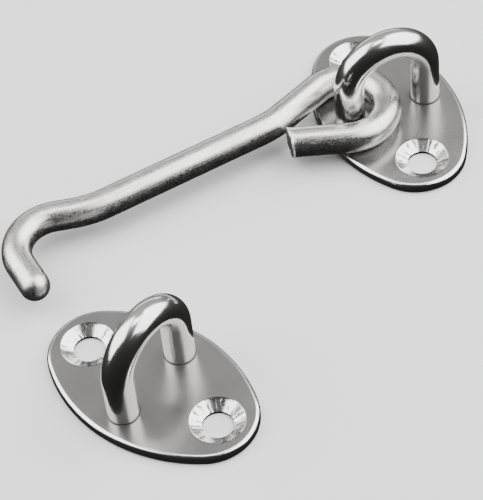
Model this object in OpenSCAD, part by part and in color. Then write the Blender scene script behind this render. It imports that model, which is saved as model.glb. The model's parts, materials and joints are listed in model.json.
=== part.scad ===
// Hook and eye latch of round stainless bar.
// Two oval plates each carry an upright staple. The hook is one bent bar:
// its closed eye turns on one leg of the pivot staple and its open end
// reaches round one leg of the catch staple.
// Lengths are in millimetres, angles in degrees, +Z points out of the
// surface that the plates are screwed to.

/* [Eye plates] */
// Length of the oval plate along the line of its screw holes
plate_length = 45; // [40:0.5:54]
// Width of the oval plate across the staple
plate_width = 28.2; // [26:0.2:34]
// Thickness of the plate
plate_thickness = 2; // [1.8:0.1:3]
// Radius of the two rounded ends of the oval
plate_end_radius = 10; // [9:0.25:12]
// Rounding along the upper rim
plate_rim_round = 0.8; // [0.3:0.1:1.2]
// Edge break along the lower rim
plate_edge_break = 0.2; // [0.1:0.05:0.4]

/* [Screw holes] */
// Distance between the two screw holes
screw_spacing = 30.6; // [28:0.2:34]
// Diameter of the through hole
screw_hole_d = 5.9; // [4:0.1:6.6]
// Diameter of the countersink at the top of the plate
countersink_d = 10.3; // [8:0.1:11]
// Depth of the countersink
countersink_depth = 1.4; // [0.8:0.1:1.6]

/* [Staples] */
// Diameter of the bar that the staples are bent from
staple_bar_d = 6; // [5:0.25:7]
// Distance between the two legs, centre to centre
staple_leg_spacing = 16.5; // [15:0.25:20]
// Height of the arch above the plate, to its outside
staple_height = 20.5; // [18:0.5:28]
// Diameter of the turned-down end that passes through the plate
tenon_d = 4.5; // [3.5:0.25:4.75]
// Clearance all round that end in its hole
tenon_clearance = 0.05; // [0.02:0.01:0.1]
// Width that its head is spread to on the back of the plate
tenon_head_d = 6.4; // [5.6:0.1:7.4]
// Depth of the head in the back of the plate
tenon_head_depth = 0.9; // [0.6:0.1:1.2]
// How far the head stays below the back of the plate
tenon_head_recess = 0.1; // [0.05:0.05:0.2]
// Edge break round the foot of each leg
shoulder_break = 0.2; // [0.1:0.05:0.4]

/* [Hook bar] */
// Diameter of the bar that the hook is bent from
hook_bar_d = 6; // [5:0.25:6.5]
// Distance from the pivot leg to the catch leg when latched
latch_length = 65.25; // [60:0.25:160]
// Sideways offset of the straight bar from the middle of its eye
bar_offset = 4.1; // [3.6:0.1:4.6]
// Bend radius of the bar's centre line where it leaves and joins its ends
neck_radius = 20; // [12:0.5:24]
// How much the bending thins the bar, on its radius
bend_draw = 0.03; // [0.02:0.01:0.05]
// Length over which the bar thins into each bend
bend_ease = 0.6; // [0.5:0.1:0.8]

/* [Eye of the hook] */
// Play all round between the eye and the pivot leg
eye_play = 2.1; // [1.6:0.1:2.6]
// How far the eye hangs along the bar from the middle of its leg
eye_hang_along = 0.35; // [0:0.05:0.6]
// How far the eye hangs across from the middle of its leg, on the bar's side
eye_hang_across = 0.95; // [0:0.05:1.1]
// Angle at which the bar side of the eye runs in
eye_bar_taper = 16.5; // [15:0.5:22]
// Angle at which the cut side of the eye runs in
eye_cut_taper = 27; // [24:0.5:32]
// Slant of the sheared end, longer on the side next to the bar
cut_slant = 11; // [0:0.5:15]
// Gap left between the sheared corner and the line of the bar's near side
eye_gap = 0.05; // [0:0.05:1]

/* [Open end of the hook] */
// Play all round between the open bend and the catch leg
catch_play = 2; // [1:0.1:2.2]
// Angle at which the bar swings out before the open bend
open_kick = 20; // [16:0.5:26]
// Straight length of the point past the middle of the catch leg
point_length = 6; // [4:0.5:10]

/* [Layout] */
// Clearance between the bar and the tops of the plates
hook_lift = 0.3; // [0.2:0.05:1]
// Turn of the hook from the pivot staple's own line
hook_turn = 5.7; // [0:0.1:10]
// Angle that the hook is swung open from the catch leg
open_angle = 29.8; // [25:0.1:45]
// Turn of the catch plate from the pivot plate
catch_turn = 28.7; // [24:0.1:40]

/* [Hidden] */
$fn = 96;

// Cutters run past the faces they cut by this much
past = 1;

// Four-centred oval, its side arcs crossing its end arcs by a hair where they meet
arc_cross = 0.03;
half_length = plate_length / 2;
half_width = plate_width / 2;
end_centre = half_length - plate_end_radius;
meet_radius = plate_end_radius - arc_cross;
side_radius = (half_width * half_width + end_centre * end_centre - meet_radius * meet_radius)
    / (2 * (half_width - meet_radius));
side_centre = side_radius - half_width;

// Staple
staple_r = staple_bar_d / 2;
leg_x = staple_leg_spacing / 2;
arch_z = plate_thickness + staple_height - staple_r - leg_x;
tenon_hole_d = tenon_d + 2 * tenon_clearance;

// Hook bar, drawn from the middle of its eye: x runs to the open end, and the bar lies
// at y = -bar_offset
hook_r = hook_bar_d / 2;
eye_radius = staple_r + eye_play + hook_r;
catch_radius = staple_r + catch_play + hook_r;
hook_z = plate_thickness + hook_lift + hook_r;

// Bending draws the bar a little thinner: each straight length tapers just below the
// bend's own radius, and the bend reaches into that taper
bend_r = hook_r - bend_draw;
bend_lap = 0.3;
bend_step = 0.008;
into_bend = [bend_draw + bend_step, bend_ease];
full_end = [0, 0];

// Run of the bar from a bend's tangent point to the line of the straight bar
eye_run = (eye_radius * cos(eye_bar_taper) - bar_offset) / sin(eye_bar_taper);
open_offset = bar_offset + eye_hang_across;
open_run = (catch_radius * cos(open_kick) - open_offset) / sin(open_kick);
// Length that each neck bend takes from the lines on its two sides
eye_neck = neck_radius * tan(eye_bar_taper / 2);
open_neck = neck_radius * tan(open_kick / 2);
bar_start = eye_radius * sin(eye_bar_taper) + eye_run * cos(eye_bar_taper) + eye_neck;
bar_end = latch_length - eye_hang_along - catch_radius * sin(open_kick)
    - open_run * cos(open_kick) - open_neck;
// Length of the sheared side, so that its corner stops short of the bar by the gap
cut_run = ((eye_radius - hook_r) * cos(eye_cut_taper) + bar_offset - hook_r - eye_gap)
    / sin(eye_cut_taper) - hook_r * tan(cut_slant);

// Places on the mounting surface
pivot_x = -leg_x;
hook_angle = 180 + hook_turn;
catch_angle = hook_angle + open_angle;
catch_x = pivot_x + latch_length * cos(catch_angle) - leg_x * cos(catch_turn);
catch_y = latch_length * sin(catch_angle) - leg_x * sin(catch_turn);

pivot_plate();
pivot_staple();
catch_plate();
catch_staple();
hook_arm();

// Oval plate under the pivot staple
module pivot_plate() {
    color([0.72, 0.71, 0.69]) eye_plate();
}

// Staple that the eye of the hook turns on
module pivot_staple() {
    color([0.84, 0.84, 0.84]) staple();
}

// Oval plate under the catch staple
module catch_plate() {
    color([0.72, 0.71, 0.69]) at_catch() eye_plate();
}

// Staple that the open end of the hook reaches round
module catch_staple() {
    color([0.84, 0.84, 0.84]) at_catch() staple();
}

// The bent bar, from the sheared end of its eye to its rounded point
module hook_arm() {
    color([0.66, 0.65, 0.63])
        translate([pivot_x, 0, hook_z])
            rotate([0, 0, hook_angle])
                translate([eye_hang_along + eye_radius * sin(eye_cut_taper) + cut_run * cos(eye_cut_taper),
                    eye_radius * cos(eye_cut_taper) - cut_run * sin(eye_cut_taper) - eye_hang_across, 0])
                    rotate([0, 0, 180 - eye_cut_taper])
                        sheared_bar(cut_run, cut_slant)
                            bend_left(eye_radius, 180 + eye_cut_taper + eye_bar_taper)
                                bar(eye_run - eye_neck)
                                    bend_right(neck_radius, eye_bar_taper)
                                        bar(bar_end - bar_start)
                                            bend_right(neck_radius, open_kick)
                                                bar(open_run - open_neck)
                                                    bend_left(catch_radius, 90 + open_kick)
                                                        bar(point_length, into_bend, full_end)
                                                            round_end();
}

// Carries a piece from the pivot plate's place to the catch plate's
module at_catch() {
    translate([catch_x, catch_y, 0]) rotate([0, 0, catch_turn]) children();
}

// Oval plate with two countersunk screw holes and two holes for the staple
module eye_plate() {
    difference() {
        union() {
            intersection() {
                translate([side_centre, 0, 0]) rim_disc(side_radius);
                translate([-side_centre, 0, 0]) rim_disc(side_radius);
                side_sectors();
            }
            for (s = [-1, 1])
                translate([0, s * end_centre, 0]) rim_disc(plate_end_radius);
        }
        for (s = [-1, 1]) {
            translate([0, s * screw_spacing / 2, 0]) screw_hole();
            translate([s * leg_x, 0, 0]) tenon_hole();
        }
    }
}

// Disc as thick as the plate, with a rounded upper and a broken lower rim
module rim_disc(radius) {
    rim_r = radius - plate_rim_round;
    rim_z = plate_thickness - plate_rim_round;
    rotate_extrude() {
        polygon([[0, 0], [radius - plate_edge_break, 0], [radius, plate_edge_break],
            [radius, rim_z], [rim_r, plate_thickness], [0, plate_thickness]]);
        translate([rim_r, rim_z]) circle(r = plate_rim_round);
    }
}

// Both spaces between the lines on which the side arcs meet the end arcs
module side_sectors() {
    reach = plate_width;
    rise = end_centre * (side_centre + reach) / side_centre;
    translate([0, 0, -past])
        linear_extrude(plate_thickness + 2 * past)
            polygon([[0, end_centre], [-reach, rise], [-reach, -rise],
                [0, -end_centre], [reach, -rise], [reach, rise]]);
}

// Screw hole with its countersink, running past both faces
module screw_hole() {
    flare = (countersink_d - screw_hole_d) / 2 * past / countersink_depth;
    translate([0, 0, -past])
        cylinder(h = plate_thickness + 2 * past, d = screw_hole_d);
    translate([0, 0, plate_thickness - countersink_depth])
        cylinder(h = countersink_depth + past, d1 = screw_hole_d, d2 = countersink_d + 2 * flare);
}

// Hole for a staple's end, countersunk on the back for its spread head
module tenon_hole() {
    slope = (tenon_head_d - tenon_d) / 2 / (tenon_head_depth - tenon_head_recess);
    spread = slope * (past + tenon_head_recess);
    translate([0, 0, -past])
        cylinder(h = plate_thickness + 2 * past, d = tenon_hole_d);
    translate([0, 0, -past])
        cylinder(h = tenon_head_depth + past, d1 = tenon_head_d + 2 * spread, d2 = tenon_d);
}

// Arch on two legs, each with a shoulder on the plate and an end headed over behind it
module staple() {
    translate([0, 0, arch_z])
        rotate([90, 0, 0])
            rotate_extrude(angle = 180)
                translate([leg_x, 0]) circle(r = staple_r);
    for (s = [-1, 1]) translate([s * leg_x, 0, 0]) staple_leg();
}

// One straight leg turned about its own axis
module staple_leg() {
    rotate_extrude()
        polygon([[0, tenon_head_recess], [tenon_head_d / 2, tenon_head_recess],
            [tenon_d / 2, tenon_head_depth], [tenon_d / 2, plate_thickness],
            [staple_r - shoulder_break, plate_thickness],
            [staple_r, plate_thickness + shoulder_break], [staple_r, arch_z], [0, arch_z]]);
}

// Straight length of bar along x, carrying on with whatever follows it.
// Each end is given as how much it narrows and over what length.
module bar(length, start = into_bend, end = into_bend) {
    rotate([0, 90, 0])
        rotate_extrude()
            polygon(concat(
                [[0, 0], [hook_r - start[0], 0]],
                start == full_end ? [] : [[hook_r, start[1]]],
                end == full_end ? [] : [[hook_r, length - end[1]]],
                [[hook_r - end[0], length], [0, length]]));
    translate([length, 0, 0]) children();
}

// Straight length of bar whose start is sheared at a slant, longer toward +y
module sheared_bar(length, slant) {
    reach = hook_bar_d;
    difference() {
        translate([-reach, 0, 0]) bar(length + reach, full_end);
        rotate([0, 0, slant])
            translate([-2 * reach, -reach, -reach]) cube([2 * reach, 2 * reach, 2 * reach]);
    }
    translate([length, 0, 0]) children();
}

// Bend toward +y, carrying on along the new direction
module bend_left(radius, angle) {
    translate([0, radius, 0]) {
        bend_arc(radius, angle, -90);
        rotate([0, 0, angle]) translate([0, -radius, 0]) children();
    }
}

// Bend toward -y, carrying on along the new direction
module bend_right(radius, angle) {
    translate([0, -radius, 0]) {
        bend_arc(radius, angle, 90 - angle);
        rotate([0, 0, -angle]) translate([0, radius, 0]) children();
    }
}

// Arc of bar about the z axis, reaching into the bar at both its ends
module bend_arc(radius, angle, start) {
    turn = bend_lap / radius * 180 / PI;
    rotate_extrude(angle = angle + 2 * turn, start = start - turn)
        translate([radius, 0]) circle(r = bend_r);
}

// Round nose that closes the point of the bar
module round_end() {
    sphere(r = hook_r);
}
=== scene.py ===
"""Looks of a hook and eye latch of round stainless bar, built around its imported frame.

Every piece is drawn in millimetres on the bench, where a bar is still straight and a
plate lies square, and is then carried to its place. The bench place of each vertex stays
with the mesh, so that grain follows a bar round its bends.
"""

from __future__ import annotations

import json
import logging
import math
from dataclasses import dataclass, field
from enum import Enum, IntEnum
from typing import Any, ClassVar, Iterable, Sequence

import bmesh
import bpy
from mathutils import Matrix, Vector, noise

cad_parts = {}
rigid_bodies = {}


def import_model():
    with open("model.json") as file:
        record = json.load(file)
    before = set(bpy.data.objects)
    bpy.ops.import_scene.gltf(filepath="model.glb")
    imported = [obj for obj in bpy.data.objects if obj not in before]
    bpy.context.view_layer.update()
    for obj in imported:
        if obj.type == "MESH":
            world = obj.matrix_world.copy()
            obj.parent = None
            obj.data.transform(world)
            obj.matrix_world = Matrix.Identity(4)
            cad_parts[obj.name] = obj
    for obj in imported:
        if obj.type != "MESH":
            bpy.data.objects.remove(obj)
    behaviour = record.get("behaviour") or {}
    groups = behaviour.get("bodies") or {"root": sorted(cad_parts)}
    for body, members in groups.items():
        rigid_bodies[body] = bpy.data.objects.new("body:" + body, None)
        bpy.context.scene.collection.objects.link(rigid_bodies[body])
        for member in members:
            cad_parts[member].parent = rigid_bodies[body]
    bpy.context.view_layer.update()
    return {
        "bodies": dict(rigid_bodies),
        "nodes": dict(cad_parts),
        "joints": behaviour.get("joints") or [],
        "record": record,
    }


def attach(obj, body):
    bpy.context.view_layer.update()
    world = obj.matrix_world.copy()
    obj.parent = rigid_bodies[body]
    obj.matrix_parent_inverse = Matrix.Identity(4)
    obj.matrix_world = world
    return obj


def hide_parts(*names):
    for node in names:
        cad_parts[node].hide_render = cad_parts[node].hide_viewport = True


LOG = logging.getLogger("latch")

MM = 0.001
BENCH = "bench_place"
SHARP_ANGLE = math.radians(28)
MERGE_DISTANCE = 1e-4
PHOTO_SIZE = (483, 500)
FILM = 36.0

# Sizes that several pieces share, in millimetres.
BAR_R = 3.0
LEG_X = 8.25
SCREW_Y = 15.3
SHEET = 2.0
HEAD_DEPTH = 0.9

Colour = tuple[float, float, float, float]
Triple = tuple[float, float, float]
Span = tuple[float, float]
Ring = list[bmesh.types.BMVert]
Materials = Sequence[bpy.types.Material]
Settings = dict[str, Any]


class Body(str, Enum):
    """The two bodies of the latch that pieces ride on."""

    BASE = "base"
    HOOK = "hook"


class Slot(str, Enum):
    """The record's material slots."""

    PLATE = "plate"
    STAPLE = "staple"
    BAR = "hook_bar"


class Side(Enum):
    """Which way a bar is bent, seen from above its bench."""

    LEFT = 1
    RIGHT = -1


class PlateSkin(IntEnum):
    """The finishes of a plate, in the order of its materials."""

    FACE = 0
    RIM = 1
    CONE = 2


class StapleSkin(IntEnum):
    """The finishes of a staple, in the order of its materials."""

    BAR = 0
    HEAD = 1


class HookSkin(IntEnum):
    """The finishes of the hook, in the order of its materials."""

    BAR = 0
    END = 1
    LIP = 2


def grey(value: float, warmth: float = 0.0) -> Colour:
    """Makes an opaque grey, with this share more red and less blue."""
    return (value * (1 + warmth), value, value * (1 - warmth), 1.0)


class Value:
    """A shader value: one output socket, with arithmetic that adds Math nodes."""

    def __init__(self, bench: ShaderBench, socket: bpy.types.NodeSocket) -> None:
        """Wraps a socket of a bench's node tree."""
        self.bench = bench
        self.socket = socket

    def __add__(self, other: Term) -> Value:
        """Adds two values."""
        return self.bench.maths("ADD", self, other)

    def __radd__(self, other: Term) -> Value:
        """Adds two values, this one second."""
        return self.bench.maths("ADD", other, self)

    def __sub__(self, other: Term) -> Value:
        """Takes another value from this one."""
        return self.bench.maths("SUBTRACT", self, other)

    def __rsub__(self, other: Term) -> Value:
        """Takes this value from another one."""
        return self.bench.maths("SUBTRACT", other, self)

    def __mul__(self, other: Term) -> Value:
        """Multiplies two values."""
        return self.bench.maths("MULTIPLY", self, other)

    def __rmul__(self, other: Term) -> Value:
        """Multiplies two values, this one second."""
        return self.bench.maths("MULTIPLY", other, self)

    def __pow__(self, other: Term) -> Value:
        """Raises this value to a power."""
        return self.bench.maths("POWER", self, other)

    def __rpow__(self, other: Term) -> Value:
        """Raises another value to the power of this one."""
        return self.bench.maths("POWER", other, self)

    def __abs__(self) -> Value:
        """Drops the sign of this value."""
        return self.bench.maths("ABSOLUTE", self)

    def wave(self, length: float) -> Value:
        """Turns a distance into a wave from 0 to 1, with this length from crest to crest."""
        return self.bench.maths("SINE", self * (2 * math.pi / length)) * 0.5 + 0.5

    def between(self, low: float, high: float) -> Value:
        """Eases from 0 at one value to 1 at another.

        Args:
            low: The value that gives 0.
            high: The value that gives 1, above or below the other.

        Returns:
            The eased share.
        """
        share = self.bench.node(
            "ShaderNodeMapRange",
            {"interpolation_type": "SMOOTHSTEP"},
            {"Value": self, "From Min": min(low, high), "From Max": max(low, high)},
        )
        return 1 - share if low > high else share


Term = Value | float
Feed = Value | float | Sequence[float]
Feeds = dict[str | int, Feed]


@dataclass(frozen=True)
class Grain:
    """A pattern of soft noise: its patches to a millimetre, its finer octaves and its lay."""

    scale: float = 1.0
    detail: float = 3.0
    rough: float = 0.55
    stretch: Triple | None = None


class ShaderBench:
    """A node tree under construction."""

    # A Mix node has a set of sockets for each type, so those for colours go by number.
    MIX_SHARE, MIX_FIRST, MIX_SECOND, MIX_COLOUR = 0, 6, 7, 2

    def __init__(self, tree: bpy.types.NodeTree) -> None:
        """Empties a tree and starts on it."""
        tree.nodes.clear()
        self.tree = tree

    def add(
        self,
        kind: str,
        settings: Settings | None = None,
        feeds: Feeds | None = None,
    ) -> bpy.types.Node:
        """Adds one node of any kind.

        Args:
            kind: The node's type.
            settings: Its properties, set first. "stops" gives a ramp's places and colours.
            feeds: The value or link of each socket, by name or number.

        Returns:
            The node.
        """
        made = self.tree.nodes.new(kind)
        for name, value in (settings or {}).items():
            if name == "stops":
                self._set_stops(made.color_ramp, value)
            else:
                setattr(made, name, value)
        for name, value in (feeds or {}).items():
            if isinstance(value, Value):
                self.tree.links.new(value.socket, made.inputs[name])
            else:
                made.inputs[name].default_value = value
        return made

    @staticmethod
    def _set_stops(ramp: bpy.types.ColorRamp, stops: Iterable[tuple[float, Colour]]) -> None:
        """Gives a colour ramp its stops.

        Args:
            ramp: The ramp, which has a stop at either end.
            stops: Place and colour of each stop, the two ends first.
        """
        for number, (place, colour) in enumerate(stops):
            stop = ramp.elements[number] if number < 2 else ramp.elements.new(place)
            stop.position = place
            stop.color = colour

    def node(
        self,
        kind: str,
        settings: Settings | None = None,
        feeds: Feeds | None = None,
        output: str | int = 0,
    ) -> Value:
        """Adds one node of any kind, and hands back one output of it by name or number."""
        return Value(self, self.add(kind, settings, feeds).outputs[output])

    def maths(self, operation: str, *terms: Term) -> Value:
        """Adds a Math node on values and numbers."""
        return self.node("ShaderNodeMath", {"operation": operation}, dict(enumerate(terms)))

    def bench_place(self) -> Value:
        """Reads where each point lay on the bench, in millimetres."""
        settings = {"attribute_type": "GEOMETRY", "attribute_name": BENCH}
        return self.node("ShaderNodeAttribute", settings, output="Vector")

    def axes(self, place: Value) -> tuple[Value, Value, Value]:
        """Splits a place into its x, y and z."""
        x, y, z = self.add("ShaderNodeSeparateXYZ", feeds={0: place}).outputs
        return Value(self, x), Value(self, y), Value(self, z)

    def clouds(self, place: Value, grain: Grain) -> Value:
        """Adds soft noise from 0 to 1.

        Args:
            place: Where to read it.
            grain: Its pattern.

        Returns:
            The noise.
        """
        if grain.stretch:
            stretch = {0: place, 1: grain.stretch}
            place = self.node("ShaderNodeVectorMath", {"operation": "MULTIPLY"}, stretch)
        feeds = {"Vector": place, "Scale": grain.scale, "Detail": grain.detail}
        return self.node("ShaderNodeTexNoise", feeds=feeds | {"Roughness": grain.rough})

    def blend(self, share: Term, first: Feed, second: Feed) -> Value:
        """Mixes two colours, by the share of the second one."""
        feeds = {self.MIX_SHARE: share, self.MIX_FIRST: first, self.MIX_SECOND: second}
        return self.node("ShaderNodeMix", {"data_type": "RGBA"}, feeds, self.MIX_COLOUR)

    def bump(self, height: Value, depth: float) -> Value:
        """Bends the normal for a height from 0 to 1 that is this many millimetres deep."""
        return self.node("ShaderNodeBump", feeds={"Height": height, "Distance": depth * MM})

    def finish(self, feeds: Feeds) -> None:
        """Ends the tree in a shader with these feeds, pure metal unless they say otherwise."""
        shader = self.node("ShaderNodeBsdfPrincipled", feeds={"Metallic": 1.0} | feeds)
        self.add("ShaderNodeOutputMaterial", feeds={"Surface": shader})


@dataclass(frozen=True)
class Finish:
    """A finish of one kind of surface."""

    name: str

    def mix(self) -> bpy.types.Material:
        """Makes the material.

        Returns:
            The material, with its nodes in place.
        """
        material = bpy.data.materials.new(self.name)
        material.use_nodes = True
        bench = ShaderBench(material.node_tree)
        bench.finish(self.feeds(bench))
        return material

    def feeds(self, bench: ShaderBench) -> Feeds:
        """Works out the value or link of each socket of the shader."""
        raise NotImplementedError


@dataclass(frozen=True)
class SatinSheet(Finish):
    """Fine-grained satin sheet steel, rougher and darkened by painted shade in the crevice round
    each leg.
    """

    name: str = "satin_sheet"
    tint: Colour = grey(0.27, 0.012)
    pale: Colour = grey(0.35, 0.022)
    crevice_shade: Colour = grey(0.07, 0.1)
    gloss: float = 0.22
    metal: float = 0.84
    depth: float = 0.009
    leg_x: float = LEG_X
    leg_r: float = BAR_R
    crevice: Span = (0.42, 0.05)
    fine: Grain = Grain(9.0, 4.0, 0.6)
    lay: Grain = Grain(stretch=(7.0, 0.5, 1.0))
    smear: Grain = Grain(0.14, 2.0)

    def feeds(self, bench: ShaderBench) -> Feeds:
        """Works out the satin sheet's sockets.

        Args:
            bench: The tree to add nodes to.

        Returns:
            The value or link of each socket.
        """
        place = bench.bench_place()
        x, y, _ = bench.axes(place)
        fine, lay, smear = (bench.clouds(place, g) for g in (self.fine, self.lay, self.smear))
        from_leg = bench.maths("SQRT", (abs(x) - self.leg_x) ** 2 + y * y)
        # Painted shade: the crevice mask darkens the sheet towards a near-black colour round the
        # foot of each leg.
        crevice = from_leg.between(*(self.leg_r + gap for gap in self.crevice))
        tone = bench.blend(fine * 0.3 + smear * 0.35, self.tint, self.pale)
        rough = self.gloss + (fine - 0.5) * 0.12 + (smear - 0.5) * 0.14 + crevice * 0.25
        return {
            "Base Color": bench.blend(crevice * 0.72, tone, self.crevice_shade),
            "Metallic": self.metal,
            "Roughness": rough,
            "Normal": bench.bump(fine * 0.6 + lay * 0.5, self.depth),
        }


@dataclass(frozen=True)
class PolishedRim(Finish):
    """Bright tumbled rim of the plates, with small nicks."""

    name: str = "polished_rim"
    tint: Colour = grey(0.80, 0.01)
    nicked: Colour = grey(0.45)
    gloss: float = 0.13
    depth: float = 0.003
    fine: Grain = Grain(4.0, 4.0)
    nicks: Grain = Grain(1.6, 2.0)
    nick_edge: Span = (0.64, 0.72)

    def feeds(self, bench: ShaderBench) -> Feeds:
        """Works out the rim's sockets.

        Args:
            bench: The tree to add nodes to.

        Returns:
            The value or link of each socket.
        """
        place = bench.bench_place()
        fine = bench.clouds(place, self.fine)
        nick = bench.clouds(place, self.nicks).between(*self.nick_edge)
        return {
            "Base Color": bench.blend(nick * 0.5, self.tint, self.nicked),
            "Roughness": self.gloss + fine * 0.10 + nick * 0.05,
            "Normal": bench.bump(fine, self.depth),
        }


@dataclass(frozen=True)
class TurnedCone(Finish):
    """Countersink cut by a tool that left fine rings and chattered round the hole."""

    name: str = "turned_cone"
    tint: Colour = grey(0.84, 0.01)
    chattered: Colour = grey(0.08)
    gloss: float = 0.14
    depth: float = 0.028
    hole_y: float = SCREW_Y
    ring_pitch: float = 0.21
    chatter_marks: int = 19
    wander: Grain = Grain(0.9, 2.0)
    patches: Grain = Grain(0.45, 2.0)
    patch_edge: Span = (0.40, 0.60)

    def feeds(self, bench: ShaderBench) -> Feeds:
        """Works out the countersink's sockets.

        Args:
            bench: The tree to add nodes to.

        Returns:
            The value or link of each socket.
        """
        place = bench.bench_place()
        x, y, _ = bench.axes(place)
        across = abs(y) - self.hole_y
        radius = bench.maths("SQRT", x * x + across * across)
        around = bench.maths("ARCTAN2", across, x)
        wander = bench.clouds(place, self.wander)
        rings = (radius + wander * 0.12).wave(self.ring_pitch)
        chatter = (around + wander * 0.35).wave(2 * math.pi / self.chatter_marks)
        patch = bench.clouds(place, self.patches).between(*self.patch_edge)
        streak = chatter**2.0 * patch
        return {
            "Base Color": bench.blend(streak * 0.95, self.tint, self.chattered),
            "Roughness": self.gloss + rings * 0.06 + streak * 0.14,
            "Normal": bench.bump(rings * 0.12 + streak, self.depth),
        }


@dataclass(frozen=True)
class PolishedBar(Finish):
    """Buffed bar of the staples: bright, with faint buffing lines and soft waves."""

    name: str = "polished_bar"
    tint: Colour = grey(0.80, 0.012)
    hazy: Colour = grey(0.60, 0.02)
    gloss: float = 0.11
    depth: float = 0.06
    lines: Grain = Grain(detail=4.0, stretch=(0.25, 5.0, 5.0))
    waves: Grain = Grain(detail=1.0, stretch=(0.22, 0.4, 0.4))
    haze: Grain = Grain(0.5)
    specks: Grain = Grain(5.0, 1.0)
    speck_edge: Span = (0.70, 0.78)

    def feeds(self, bench: ShaderBench) -> Feeds:
        """Works out the polished bar's sockets.

        Args:
            bench: The tree to add nodes to.

        Returns:
            The value or link of each socket.
        """
        place = bench.bench_place()
        lines, waves, haze = (bench.clouds(place, g) for g in (self.lines, self.waves, self.haze))
        speck = bench.clouds(place, self.specks).between(*self.speck_edge)
        return {
            "Base Color": bench.blend(haze * 0.35 + speck * 0.25, self.tint, self.hazy),
            "Roughness": self.gloss + lines * 0.06 + haze * 0.06 + speck * 0.08,
            "Normal": bench.bump(waves + lines * 0.018, self.depth),
        }


@dataclass(frozen=True)
class BrushedBar(Finish):
    """Drawn bar of the hook, brushed along its length and pitted with small specks."""

    name: str = "brushed_bar"
    drab: Colour = grey(0.50, 0.025)
    pale: Colour = grey(0.98, 0.02)
    pitted: Colour = grey(0.24, 0.05)
    gloss: float = 0.28
    depth: float = 0.026
    brush: Grain = Grain(detail=4.0, rough=0.7, stretch=(0.30, 3.4, 3.4))
    drawn: Grain = Grain(detail=2.0, stretch=(0.05, 1.3, 1.3))
    fine: Grain = Grain(2.4, 4.0, 0.75)
    stains: Grain = Grain(0.16)
    speck_edge: Span = (0.58, 0.70)
    stain_edge: Span = (0.45, 0.80)

    def feeds(self, bench: ShaderBench) -> Feeds:
        """Works out the brushed bar's sockets.

        Args:
            bench: The tree to add nodes to.

        Returns:
            The value or link of each socket.
        """
        place = bench.bench_place()
        brush, drawn, fine = (bench.clouds(place, g) for g in (self.brush, self.drawn, self.fine))
        speck = fine.between(*self.speck_edge)
        stain = bench.clouds(place, self.stains).between(*self.stain_edge)
        lines = (brush - 0.5) * 1.7 + 0.5 + (drawn - 0.5) * 0.4
        tone = bench.blend(lines, self.drab, self.pale)
        return {
            "Base Color": bench.blend(speck * 0.62 + stain * 0.15, tone, self.pitted),
            "Roughness": self.gloss + (brush - 0.5) * 0.3 + (fine - 0.5) * 0.3 + stain * 0.05,
            "Normal": bench.bump(brush * 0.9 + fine * 0.9 - speck * 0.6, self.depth),
        }


@dataclass(frozen=True)
class ShearedEnd(Finish):
    """End of the bar as the shears left it: torn, rough and streaked across, kept nearly black by
    painted shade.
    """

    name: str = "sheared_end"
    # Painted shade: the near-black tint stands for the shade the end face lies in; the paler
    # share follows the tear and one side of the end.
    tint: Colour = grey(0.06, 0.04)
    bare: Colour = grey(0.28)
    gloss: float = 0.50
    depth: float = 0.35
    score_pitch: float = 0.5
    tear: Grain = Grain(detail=4.0, rough=0.7, stretch=(1.0, 3.2, 0.7))
    bright_edge: Span = (0.4, 2.2)

    def feeds(self, bench: ShaderBench) -> Feeds:
        """Works out the sheared end's sockets.

        Args:
            bench: The tree to add nodes to.

        Returns:
            The value or link of each socket.
        """
        place = bench.bench_place()
        _, y, z = bench.axes(place)
        tear = bench.clouds(place, self.tear)
        score = (z + tear * 0.5).wave(self.score_pitch)
        bright = (y + tear * 1.6).between(*self.bright_edge)
        return {
            "Base Color": bench.blend(tear * 0.5 + bright * 0.4, self.tint, self.bare),
            "Roughness": self.gloss + tear * 0.3,
            "Normal": bench.bump(tear + score * 0.35, self.depth),
        }


@dataclass(frozen=True)
class TornLip(Finish):
    """Bright burr that the shears raised round the end of the bar."""

    name: str = "torn_lip"
    tint: Colour = grey(0.93)
    drab: Colour = grey(0.30)
    metal: float = 0.45
    gloss: float = 0.34
    depth: float = 0.06
    tear: Grain = Grain(2.2)
    tear_edge: Span = (0.42, 0.62)

    def feeds(self, bench: ShaderBench) -> Feeds:
        """Works out the burr's sockets.

        Args:
            bench: The tree to add nodes to.

        Returns:
            The value or link of each socket.
        """
        tear = bench.clouds(bench.bench_place(), self.tear)
        return {
            "Base Color": bench.blend(tear.between(*self.tear_edge), self.tint, self.drab),
            "Metallic": self.metal,
            "Roughness": self.gloss + tear * 0.2,
            "Normal": bench.bump(tear, self.depth),
        }


@dataclass(frozen=True)
class HeadedEnd(Finish):
    """Spread head of a staple's leg on the back of a plate, hammered and ground."""

    name: str = "headed_end"
    tint: Colour = grey(0.50, 0.03)
    bare: Colour = grey(0.68)
    gloss: float = 0.30
    depth: float = 0.08
    ground: Grain = Grain(detail=4.0, stretch=(1.0, 6.0, 0.8))
    dents: Grain = Grain(0.9, 1.0)

    def feeds(self, bench: ShaderBench) -> Feeds:
        """Works out the headed end's sockets.

        Args:
            bench: The tree to add nodes to.

        Returns:
            The value or link of each socket.
        """
        place = bench.bench_place()
        ground, dent = (bench.clouds(place, g) for g in (self.ground, self.dents))
        return {
            "Base Color": bench.blend(ground * 0.6, self.tint, self.bare),
            "Roughness": self.gloss + ground * 0.2,
            "Normal": bench.bump(dent + ground * 0.2, self.depth),
        }


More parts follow.
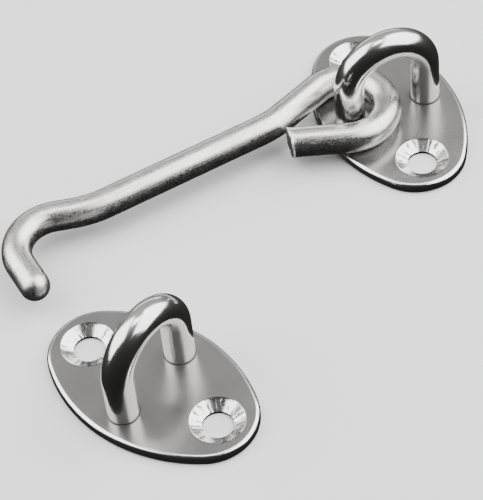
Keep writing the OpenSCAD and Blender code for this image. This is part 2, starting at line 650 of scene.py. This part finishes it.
@dataclass(frozen=True)
class PaleFloor(Finish):
    """Plain pale table top with a trace of tooth, whose patches count to a metre."""

    name: str = "pale_floor"
    tint: Colour = grey(0.80)
    pale: Colour = grey(0.84)
    gloss: float = 0.6
    depth: float = 0.03
    tooth: Grain = Grain(900.0, 2.0)

    def feeds(self, bench: ShaderBench) -> Feeds:
        """Works out the floor's sockets.

        Args:
            bench: The tree to add nodes to.

        Returns:
            The value or link of each socket.
        """
        tooth = bench.clouds(bench.node("ShaderNodeTexCoord", output="Object"), self.tooth)
        return {
            "Base Color": bench.blend(tooth * 0.5, self.tint, self.pale),
            "Metallic": 0.0,
            "Roughness": self.gloss,
            "Normal": bench.bump(tooth, self.depth),
        }


class Piece:
    """A mesh in the making, drawn in millimetres on its bench."""

    def __init__(self, name: str) -> None:
        """Starts an empty mesh.

        Args:
            name: The piece's name.
        """
        self.name = name
        self.mesh = bmesh.new()
        self.layer = self.mesh.verts.layers.float_vector.new(BENCH)

    def mark(self, vertices: Iterable[bmesh.types.BMVert]) -> None:
        """Notes where vertices lie now as their place on the bench."""
        for vertex in vertices:
            vertex[self.layer] = vertex.co

    @staticmethod
    def edges_of(ring: Ring) -> list[bmesh.types.BMEdge]:
        """Finds the edges that join the vertices of a ring."""
        inside = set(ring)
        return [e for v in ring for e in v.link_edges if e.verts[0] is v and e.verts[1] in inside]

    def grow(self, ring: Ring, finish: int = 0) -> Ring:
        """Extrudes a ring where it lies.

        Args:
            ring: The vertices of the ring.
            finish: Number of the finish of the new faces.

        Returns:
            The vertices of the new ring.
        """
        grown = bmesh.ops.extrude_edge_only(self.mesh, edges=self.edges_of(ring))["geom"]
        for face in grown:
            if isinstance(face, bmesh.types.BMFace):
                face.material_index = finish
        return [vertex for vertex in grown if isinstance(vertex, bmesh.types.BMVert)]

    def close(self) -> None:
        """Merges doubles, turns faces outward and keeps creases crisp."""
        bmesh.ops.remove_doubles(self.mesh, verts=self.mesh.verts[:], dist=MERGE_DISTANCE)
        bmesh.ops.recalc_face_normals(self.mesh, faces=self.mesh.faces[:])
        for face in self.mesh.faces:
            face.smooth = True
        for edge in self.mesh.edges:
            edge.smooth = edge.is_manifold and edge.calc_face_angle() < SHARP_ANGLE

    def place(
        self,
        where: Matrix,
        finishes: Materials,
        body: Body,
        slot: Slot,
        node: str,
    ) -> bpy.types.Object:
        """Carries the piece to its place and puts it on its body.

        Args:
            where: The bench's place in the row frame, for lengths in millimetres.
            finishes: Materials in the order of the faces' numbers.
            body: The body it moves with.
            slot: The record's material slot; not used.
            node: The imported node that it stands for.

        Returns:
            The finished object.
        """
        bmesh.ops.transform(self.mesh, matrix=where, verts=self.mesh.verts[:])
        data = bpy.data.meshes.new(self.name)
        self.mesh.to_mesh(data)
        self.mesh.free()
        for finish in finishes:
            data.materials.append(finish)
        made = bpy.data.objects.new(self.name, data)
        bpy.context.scene.collection.objects.link(made)
        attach(made, body.value)
        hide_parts(node)
        LOG.info("%s: %d faces on %s", self.name, len(data.polygons), body.value)
        return made


class BentBar(Piece):
    """Round bar drawn along a run of straights and bends in one plane."""

    SIDES = 96
    STEP = math.radians(3)
    NOSE_STEPS = 14

    def __init__(self, name: str, radius: float) -> None:
        """Starts a bar along +X with a ring at the origin.

        Args:
            name: The piece's name.
            radius: Radius of the bar.
        """
        super().__init__(name)
        made = bmesh.ops.create_circle(
            self.mesh,
            cap_ends=False,
            radius=radius,
            segments=self.SIDES,
            matrix=Matrix.Rotation(math.pi / 2, 4, "Y"),
        )
        self.bar_r = radius
        self.radius = radius
        self.run = 0.0
        self.way = 1
        self.heading = 0.0
        self.centre = Vector()
        self.ring = made["verts"]
        self.first = self.ring
        self.mark(self.ring)

    @property
    def along(self) -> Vector:
        """The way the bar is heading."""
        return Vector((math.cos(self.heading), math.sin(self.heading), 0.0))

    def _advance(self, length: float) -> None:
        """Notes that the new ring lies further along the bench.

        Args:
            length: Millimetres from the ring before.
        """
        self.run += length * self.way
        for vertex in self.ring:
            vertex[self.layer].x = self.run

    def _step(self, length: float, finish: int = 0) -> None:
        """Grows a ring and moves it straight on.

        Args:
            length: Millimetres to go.
            finish: Number of the finish of the new faces.
        """
        self.ring = self.grow(self.ring, finish)
        move = self.along * length
        bmesh.ops.translate(self.mesh, verts=self.ring, vec=move)
        self.centre += move
        self._advance(length)

    def straight(self, length: float, steps: int = 1) -> BentBar:
        """Draws a straight length.

        Args:
            length: Millimetres to go.
            steps: Rings to draw on the way.

        Returns:
            The bar itself.
        """
        for _ in range(steps):
            self._step(length / steps)
        return self

    def bend(self, radius: float, angle: float, side: Side) -> BentBar:
        """Draws a bend.

        Args:
            radius: Bend radius of the centre line.
            angle: Angle of the bend, in degrees.
            side: Which way it turns.

        Returns:
            The bar itself.
        """
        turn = math.radians(angle)
        steps = max(2, round(turn / self.STEP))
        out = Vector((-self.along.y, self.along.x, 0.0)) * side.value
        middle = self.centre + out * radius
        for _ in range(steps):
            self.ring = self.grow(self.ring)
            spin = Matrix.Rotation(side.value * turn / steps, 4, "Z")
            bmesh.ops.rotate(self.mesh, verts=self.ring, cent=middle, matrix=spin)
            self.centre = middle + spin @ (self.centre - middle)
            self.heading += side.value * turn / steps
            self._advance(radius * turn / steps)
        return self

    def turned(self, length: float, radius: float, finish: int = 0) -> BentBar:
        """Draws a turned length that changes the bar's radius.

        Args:
            length: Millimetres to go along the bar.
            radius: Radius at its end.
            finish: Number of the finish of its faces.

        Returns:
            The bar itself.
        """
        self._step(length, finish)
        share = radius / self.radius
        about = Matrix.Translation(-self.centre)
        bmesh.ops.scale(self.mesh, verts=self.ring, vec=(share, share, share), space=about)
        for vertex in self.ring:
            flat = vertex[self.layer]
            flat.y, flat.z = flat.y * share, flat.z * share
        self.radius = radius
        return self

    def nose(self) -> BentBar:
        """Rounds the bar off in a half ball.

        Returns:
            The bar itself.
        """
        full = self.radius
        for step in range(1, self.NOSE_STEPS):
            last, now = (math.pi / 2 * s / self.NOSE_STEPS for s in (step - 1, step))
            self.turned(full * (math.sin(now) - math.sin(last)), full * math.cos(now))
        self.cap()
        return self

    def cap(self, finish: int = 0) -> None:
        """Closes the bar's end with a flat face of this finish."""
        made = bmesh.ops.edgeloop_fill(self.mesh, edges=self.edges_of(self.ring))
        made["faces"][0].material_index = finish

    def turn_back(self) -> BentBar:
        """Takes up the ring that the bar started from, to finish that end.

        Returns:
            The bar itself.
        """
        self.ring = self.first
        self.radius = self.bar_r
        self.run = 0.0
        self.way = -1
        self.heading = math.pi
        self.centre = Vector()
        return self


@dataclass
class HookArm:
    """The bent bar, from the sheared end of its eye to its rounded point."""

    bar_r: float = BAR_R
    leg_r: float = BAR_R
    latch_length: float = 65.25
    bar_offset: float = 4.1
    neck_radius: float = 20.0
    eye_play: float = 2.1
    eye_hang: Span = (0.35, -0.95)
    eye_bar_taper: float = 16.5
    eye_cut_taper: float = 27.0
    cut_slant: float = 11.0
    eye_gap: float = 0.05
    catch_play: float = 2.0
    open_kick: float = 20.0
    point_length: float = 6.0
    rest_turn: float = 185.7
    skin: float = 0.03
    neck_steps: int = 2
    bar_steps: int = 6
    cut_steps: int = 3
    # Run along the bar, rise above its radius and finish of each ring at the sheared end.
    spread: tuple[tuple[float, float, HookSkin], ...] = (
        (0.70, 0.00, HookSkin.BAR),
        (0.50, 0.02, HookSkin.BAR),
        (0.40, 0.07, HookSkin.BAR),
        (0.28, 0.14, HookSkin.LIP),
        (0.12, 0.09, HookSkin.LIP),
        (-0.06, -0.12, HookSkin.END),
        (0.02, -0.90, HookSkin.END),
        (0.02, -1.80, HookSkin.END),
    )
    slant_ring: int = 0
    lip_ring: int = 3
    burr: float = 0.16
    # Waves to a millimetre and share of each layer of the tear round the lip.
    tears: tuple[Span, ...] = ((1.1, 1.0), (3.1, 0.5))

    def _run(self, radius: float, taper: float, offset: float) -> Span:
        """Works out a slanted run between a round end and the straight bar.

        Args:
            radius: Bend radius of the round end.
            taper: Slant of the run, in degrees.
            offset: How far the bar's line lies from the middle of the round end.

        Returns:
            The slanted length to the bar's line, and what the neck bend takes from it.
        """
        angle = math.radians(taper)
        length = (radius * math.cos(angle) - offset) / math.sin(angle)
        return length, self.neck_radius * math.tan(angle / 2)

    def build(self) -> BentBar:
        """Draws the bar from the start of its eye, then finishes its sheared end.

        Returns:
            The bar on its bench, with the pivot leg's middle at the origin.
        """
        eye = self.leg_r + self.eye_play + self.bar_r
        mouth = self.leg_r + self.catch_play + self.bar_r
        hang_x, hang_y = self.eye_hang
        eye_run, eye_neck = self._run(eye, self.eye_bar_taper, self.bar_offset)
        open_run, open_neck = self._run(mouth, self.open_kick, self.bar_offset - hang_y)
        slants = (self.eye_bar_taper, self.open_kick, self.eye_cut_taper)
        bar_taper, kick, cut = map(math.radians, slants)
        start = eye * math.sin(bar_taper) + eye_run * math.cos(bar_taper) + eye_neck
        reach = mouth * math.sin(kick) + open_run * math.cos(kick) + open_neck
        end = self.latch_length - hang_x - reach
        inside = (eye - self.bar_r) * math.cos(cut)
        cut_run = (inside + self.bar_offset - self.bar_r - self.eye_gap) / math.sin(cut)
        cut_run -= self.bar_r * math.tan(math.radians(self.cut_slant))

        bar = BentBar("hook_bar", self.bar_r - self.skin)
        bar.bend(eye, 180 + self.eye_cut_taper + self.eye_bar_taper, Side.LEFT)
        bar.straight(eye_run - eye_neck, self.neck_steps)
        bar.bend(self.neck_radius, self.eye_bar_taper, Side.RIGHT)
        bar.straight(end - start, self.bar_steps)
        bar.bend(self.neck_radius, self.open_kick, Side.RIGHT)
        bar.straight(open_run - open_neck, self.neck_steps)
        bar.bend(mouth, 90 + self.open_kick, Side.LEFT)
        bar.straight(self.point_length, self.neck_steps).nose()
        self._shear(bar.turn_back(), cut_run)

        tangent = Vector((hang_x + eye * math.sin(cut), hang_y + eye * math.cos(cut), 0.0))
        onto_eye = Matrix.Translation(tangent) @ Matrix.Rotation(math.pi - cut, 4, "Z")
        bmesh.ops.transform(bar.mesh, matrix=onto_eye, verts=bar.mesh.verts[:])
        bar.close()
        return bar

    def _shear(self, bar: BentBar, length: float) -> None:
        """Draws the sheared side of the eye, with a torn lip round its end.

        Args:
            bar: The bar, heading along that side.
            length: Millimetres to its end.
        """
        full = bar.radius
        slant = math.tan(math.radians(self.cut_slant))
        bar.straight(length - sum(run for run, _, _ in self.spread), self.cut_steps)
        for number, (run, rise, finish) in enumerate(self.spread):
            bar.turned(run, full + rise, finish)
            for vertex in bar.ring:
                if number == self.slant_ring:
                    vertex.co += bar.along * slant * vertex.co.y
                elif number == self.lip_ring:
                    flat = vertex[bar.layer]
                    tear = sum(share * noise.noise(flat * scale) for scale, share in self.tears)
                    vertex.co += bar.along * self.burr * tear
        bar.cap(HookSkin.END)

    def dress(self, pivot: Vector) -> bpy.types.Object:
        """Puts the bar on its staple, swung as in the photograph.

        Args:
            pivot: The hinge's place in the row frame, in metres.

        Returns:
            The finished object.
        """
        turn = Matrix.Rotation(math.radians(self.rest_turn), 4, "Z")
        where = Matrix.Translation(pivot) @ turn @ Matrix.Scale(MM, 4)
        finishes = [BrushedBar().mix(), ShearedEnd().mix(), TornLip().mix()]
        return self.build().place(where, finishes, Body.HOOK, Slot.BAR, "hook_arm")


@dataclass
class Staple:
    """Arch of round bar on two legs that pass through a plate."""

    bar_r: float = 2.99
    leg_x: float = LEG_X
    height: float = 20.49
    plate_thickness: float = SHEET
    tenon_r: float = 2.25
    head_r: float = 3.2
    head_depth: float = HEAD_DEPTH
    head_recess: float = 0.1
    shoulder_break: float = 0.2
    leg_steps: int = 4

    def build(self, name: str) -> BentBar:
        """Draws the arch from one foot to the other.

        Args:
            name: The piece's name.

        Returns:
            The staple, standing on the back of its plate.
        """
        leg = self.height - self.bar_r - self.leg_x - self.shoulder_break
        bar = BentBar(name, self.bar_r)
        bar.straight(leg, self.leg_steps)
        bar.bend(self.leg_x, 180, Side.RIGHT)
        bar.straight(leg, self.leg_steps)
        self._foot(bar)
        self._foot(bar.turn_back())
        # The bench's X stands upright, and its Y lies across the plate.
        turn = Matrix(((0, -1, 0), (0, 0, 1), (1, 0, 0))).to_4x4()
        foot = (-self.leg_x, 0.0, self.plate_thickness + self.shoulder_break)
        stand = Matrix.Translation(foot) @ turn
        bmesh.ops.transform(bar.mesh, matrix=stand, verts=bar.mesh.verts[:])
        bar.close()
        return bar

    def _foot(self, bar: BentBar) -> None:
        """Draws a leg's shoulder, its turned-down end and the head spread behind the plate.

        Args:
            bar: The bar, heading down that leg.
        """
        bar.turned(self.shoulder_break, self.bar_r - self.shoulder_break)
        bar.turned(0.0, self.tenon_r)
        bar.turned(self.plate_thickness - self.head_depth, self.tenon_r)
        bar.turned(self.head_depth - self.head_recess, self.head_r)
        bar.cap(StapleSkin.HEAD)

    def dress(self, name: str, node: str, where: Matrix, finishes: Materials) -> bpy.types.Object:
        """Stands the staple on its plate, in the finishes of its bar and its heads."""
        return self.build(name).place(where, finishes, Body.BASE, Slot.STAPLE, node)


@dataclass
class EyePlate:
    """Oval plate with a rounded rim, two countersunk screw holes and two leg holes."""

    length: float = 44.95
    width: float = 28.15
    thickness: float = SHEET
    end_radius: float = 10.0
    rim_round: float = 0.8
    edge_break: float = 0.2
    back_band: float = 0.3
    top_band: float = 0.25
    screw_y: float = SCREW_Y
    screw_r: float = 2.95
    cone_r: float = 5.15
    cone_depth: float = 1.4
    cone_break: float = 0.09
    leg_x: float = LEG_X
    tenon_r: float = 2.3
    head_r: float = 3.3
    head_depth: float = HEAD_DEPTH
    rim_steps: int = 10
    end_steps: int = 48
    side_steps: int = 36
    cone_steps: int = 5
    hole_sides: int = 72
    OUTWARD: ClassVar[str] = "outward"

    def _outline(self, piece: Piece) -> Ring:
        """Spins the oval from its four arcs, and notes which way is out.

        Args:
            piece: The plate in the making.

        Returns:
            The vertices of the outline.
        """
        side = self.width / 2
        end = self.length / 2 - self.end_radius
        radius = (side**2 + end**2 - self.end_radius**2) / (2 * (side - self.end_radius))
        middle = radius - side
        swing = math.atan2(end, middle)
        outward = piece.mesh.verts.layers.float_vector.new(self.OUTWARD)
        lean = Vector((math.cos(swing), math.sin(swing), 0.0))
        corner = Vector((0.0, end, 0.0)) + lean * self.end_radius
        made = bmesh.ops.create_vert(piece.mesh, co=corner)["vert"]
        made[0][outward] = lean
        ends, sides = (math.pi - 2 * swing, self.end_steps), (2 * swing, self.side_steps)
        centres = ((0.0, end, 0.0), (middle, 0.0, 0.0), (0.0, -end, 0.0), (-middle, 0.0, 0.0))
        for centre, (angle, steps) in zip(map(Vector, centres), (ends, sides, ends, sides)):
            for _ in range(steps):
                spun = bmesh.ops.spin(
                    piece.mesh,
                    geom=made[-1:],
                    cent=centre,
                    axis=(0, 0, 1),
                    angle=angle / steps,
                    steps=1,
                )["geom_last"]
                made += [v for v in spun if isinstance(v, bmesh.types.BMVert)]
                made[-1][outward] = (made[-1].co - centre).normalized()
        bmesh.ops.pointmerge(piece.mesh, verts=[made[0], made[-1]], merge_co=corner)
        loop = [v for v in made if v.is_valid]
        piece.mark(loop)
        return loop

    def _rim(self, piece: Piece) -> tuple[Ring, Ring]:
        """Draws the rim from the back up, as copies of the outline that move in and up.

        Args:
            piece: The plate in the making.

        Returns:
            The rings that bound the back and the top.
        """
        ring = back = self._outline(piece)
        outward = piece.mesh.verts.layers.float_vector[self.OUTWARD]
        shoulder = self.thickness - self.rim_round
        steps = [
            (self.edge_break + self.back_band, 0.0, PlateSkin.FACE),
            (self.edge_break, 0.0, PlateSkin.FACE),
            (0.0, self.edge_break, PlateSkin.RIM),
        ]
        for step in range(self.rim_steps + 1):
            angle = math.pi / 2 * step / self.rim_steps
            inset = self.rim_round * (1 - math.cos(angle))
            height = shoulder + self.rim_round * math.sin(angle)
            steps.append((inset, height, PlateSkin.RIM))
        steps.append((self.rim_round + self.top_band, self.thickness, PlateSkin.FACE))
        for number, (inset, height, finish) in enumerate(steps):
            if number:
                ring = piece.grow(ring, finish)
            for vertex in ring:
                foot = vertex[piece.layer] - vertex[outward] * inset
                vertex.co = (foot.x, foot.y, height)
        return back, ring

    def _hole(
        self, piece: Piece, x: float, y: float, rings: Sequence[tuple[float, float, PlateSkin]]
    ) -> tuple[Ring, Ring]:
        """Draws the wall of a round hole as rings from the top down.

        Args:
            piece: The plate in the making.
            x: The hole's place across the plate.
            y: The hole's place along the plate.
            rings: Radius, height and finish of each ring.

        Returns:
            The rings at the back and at the top.
        """
        (radius, height, _), *others = rings
        ring = top = bmesh.ops.create_circle(
            piece.mesh,
            cap_ends=False,
            radius=radius,
            segments=self.hole_sides,
            matrix=Matrix.Translation((x, y, height)),
        )["verts"]
        about = Matrix.Translation((-x, -y, 0.0))
        for wide, level, finish in others:
            ring = piece.grow(ring, finish)
            share = wide / radius
            bmesh.ops.scale(piece.mesh, verts=ring, vec=(share, share, 1.0), space=about)
            bmesh.ops.translate(piece.mesh, verts=ring, vec=(0.0, 0.0, level - height))
            radius, height = wide, level
        return ring, top

    def _screw_rings(self) -> list[tuple[float, float, PlateSkin]]:
        """Works out the rings of a countersunk screw hole.

        Returns:
            Radius, height and finish of each ring, from the top down.
        """
        top, foot = self.thickness - self.cone_break, self.thickness - self.cone_depth
        rings = [
            (self.cone_r + self.cone_break, self.thickness, PlateSkin.FACE),
            (self.cone_r, top, PlateSkin.RIM),
        ]
        for step in range(1, self.cone_steps + 1):
            share = step / self.cone_steps
            radius = self.cone_r + (self.screw_r - self.cone_r) * share
            rings.append((radius, top + (foot - top) * share, PlateSkin.CONE))
        return rings + [(self.screw_r, 0.0, PlateSkin.CONE)]

    def build(self, name: str) -> Piece:
        """Draws the plate: its rim and holes as rings, its flat faces filled between them.

        Args:
            name: The piece's name.

        Returns:
            The plate, lying on its back at the origin.
        """
        piece = Piece(name)
        back, top = self._rim(piece)
        leg_rings = [
            (self.tenon_r, self.thickness, PlateSkin.FACE),
            (self.tenon_r, self.head_depth, PlateSkin.FACE),
            (self.head_r, 0.0, PlateSkin.FACE),
        ]
        holes = ((0.0, self.screw_y, self._screw_rings()), (self.leg_x, 0.0, leg_rings))
        for x, y, rings in holes:
            for sign in (-1, 1):
                low, high = self._hole(piece, sign * x, sign * y, rings)
                back = back + low
                top = top + high
        for ring in (back, top):
            bmesh.ops.triangle_fill(piece.mesh, use_beauty=True, edges=piece.edges_of(ring))
        piece.close()
        piece.mark(piece.mesh.verts)
        layers = piece.mesh.verts.layers.float_vector
        layers.remove(layers[self.OUTWARD])
        return piece

    def dress(self, name: str, node: str, where: Matrix, finishes: Materials) -> bpy.types.Object:
        """Lays the plate in its place, in the finishes of its face, rim and countersinks."""
        return self.build(name).place(where, finishes, Body.BASE, Slot.PLATE, node)


@dataclass(frozen=True)
class SoftBox:
    """One soft light of the studio, in metres and watts, aimed at the middle of the latch."""

    name: str
    place: Triple
    size: Span
    power: float


@dataclass
class Studio:
    """Pale floor, soft light and the camera."""

    middle: Vector = field(default_factory=lambda: Vector((-40.72, -18.99, 0.0)) * MM)
    azimuth: float = -18.67
    elevation: float = 49.75
    roll: float = -6.65
    distance: float = 437.48
    focal_pixels: float = 2270.84
    near_clip: float = 0.01
    floor_size: float = 3.0
    floor_drop: float = 0.02
    # Brightness of the room from its darkest side to its brightest, the two ends first.
    sky: tuple[tuple[float, Colour], ...] = (
        (0.0, grey(0.018)),
        (1.0, grey(0.56)),
        (0.45, grey(0.034)),
        (0.68, grey(0.06)),
        (0.80, grey(0.26)),
        (0.88, grey(0.48)),
    )
    sky_lean: Triple = (0.15, 0.65, 0.745)
    sky_power: float = 1.0
    boxes: tuple[SoftBox, ...] = (
        SoftBox("right_box", (0.42, -0.10, 0.42), (0.92, 0.76), 10.4),
        SoftBox("left_box", (-0.41, 0.22, 0.39), (0.66, 0.72), 6.4),
        SoftBox("top_box", (0.03, 0.09, 0.72), (0.24, 0.24), 0.9),
        SoftBox("back_strip", (0.16, 0.62, 0.07), (0.50, 0.07), 0.3),
    )

    def build(self) -> None:
        """Lays the floor, hangs the lights and sets the camera."""
        self._floor()
        self._sky()
        for box in self.boxes:
            self._hang(box)
        self._camera()

    def _floor(self) -> None:
        """Lays the floor just under the plates, out of the metal's reflections."""
        mesh = bmesh.new()
        bmesh.ops.create_grid(mesh, x_segments=1, y_segments=1, size=self.floor_size / 2)
        drop = Matrix.Translation((self.middle.x, self.middle.y, -self.floor_drop * MM))
        bmesh.ops.transform(mesh, matrix=drop, verts=mesh.verts[:])
        data = bpy.data.meshes.new("floor")
        mesh.to_mesh(data)
        mesh.free()
        data.materials.append(PaleFloor().mix())
        floor = bpy.data.objects.new("floor", data)
        bpy.context.scene.collection.objects.link(floor)
        floor.visible_glossy = False

    def _sky(self) -> None:
        """Gives the room a dim front and a brighter ceiling at the back."""
        world = bpy.data.worlds.new("studio")
        world.use_nodes = True
        bpy.context.scene.world = world
        bench = ShaderBench(world.node_tree)
        way = bench.node("ShaderNodeTexCoord", output="Generated")
        lean = {0: way, 1: self.sky_lean}
        height = bench.node("ShaderNodeVectorMath", {"operation": "DOT_PRODUCT"}, lean, "Value")
        tone = bench.node("ShaderNodeValToRGB", {"stops": self.sky}, {0: height * 0.5 + 0.5})
        glow = {"Color": tone, "Strength": self.sky_power}
        light = bench.node("ShaderNodeBackground", feeds=glow)
        bench.add("ShaderNodeOutputWorld", feeds={"Surface": light})

    def _hang(self, box: SoftBox) -> None:
        """Hangs one soft box.

        Args:
            box: Its name, place, size and power.
        """
        data = bpy.data.lights.new(box.name, "AREA")
        data.shape = "RECTANGLE"
        data.size, data.size_y = box.size
        data.energy = box.power
        lamp = bpy.data.objects.new(box.name, data)
        lamp.visible_camera = False
        bpy.context.scene.collection.objects.link(lamp)
        place = self.middle + Vector(box.place)
        aim = (self.middle - place).to_track_quat("-Z", "Y")
        lamp.matrix_world = Matrix.Translation(place) @ aim.to_matrix().to_4x4()

    def _camera(self) -> None:
        """Sets the camera where the photograph was taken from."""
        az, el, roll = map(math.radians, (self.azimuth, self.elevation, self.roll))
        back = Vector((math.sin(az) * math.cos(el), -math.cos(az) * math.cos(el), math.sin(el)))
        right = Vector((math.cos(az), math.sin(az), 0.0))
        up = back.cross(right)
        across = right * math.cos(roll) + up * math.sin(roll)
        upright = up * math.cos(roll) - right * math.sin(roll)
        data = bpy.data.cameras.new("camera")
        data.sensor_width = FILM
        data.lens = FILM * self.focal_pixels / max(PHOTO_SIZE)
        data.clip_start = self.near_clip
        camera = bpy.data.objects.new("camera", data)
        bpy.context.scene.collection.objects.link(camera)
        axes = Matrix((across, upright, back)).transposed().to_4x4()
        camera.matrix_world = Matrix.Translation(self.middle + back * self.distance * MM) @ axes
        bpy.context.scene.camera = camera


@dataclass
class Latch:
    """The whole latch: two plates with their staples, and the hook."""

    catch_turn: float = 28.7
    plate: EyePlate = field(default_factory=EyePlate)
    staple: Staple = field(default_factory=Staple)
    hook: HookArm = field(default_factory=HookArm)

    def build(self, frame: dict[str, Any]) -> None:
        """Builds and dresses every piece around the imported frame.
        """
        mounts = {m["name"]: Vector(m["pos_m"]) for m in frame["record"]["mounts"]}
        size = Matrix.Scale(MM, 4)
        turn = Matrix.Rotation(math.radians(self.catch_turn), 4, "Z")
        places = {
            "pivot": Matrix.Translation(mounts["pivot_back"]) @ size,
            "catch": Matrix.Translation(mounts["catch_back"]) @ turn @ size,
        }
        sheet = [SatinSheet().mix(), PolishedRim().mix(), TurnedCone().mix()]
        wire = [PolishedBar().mix(), HeadedEnd().mix()]
        for name, where in places.items():
            self.plate.dress(f"{name}_oval", f"{name}_plate", where, sheet)
            self.staple.dress(f"{name}_arch", f"{name}_staple", where, wire)
        self.hook.dress(Vector(frame["joints"][0]["pos_m"]))


def main() -> None:
    """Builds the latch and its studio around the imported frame."""
    logging.basicConfig(level=logging.INFO, format="%(name)s %(message)s")
    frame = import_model()
    Latch().build(frame)
    Studio().build()


if __name__ == "__main__":
    main()
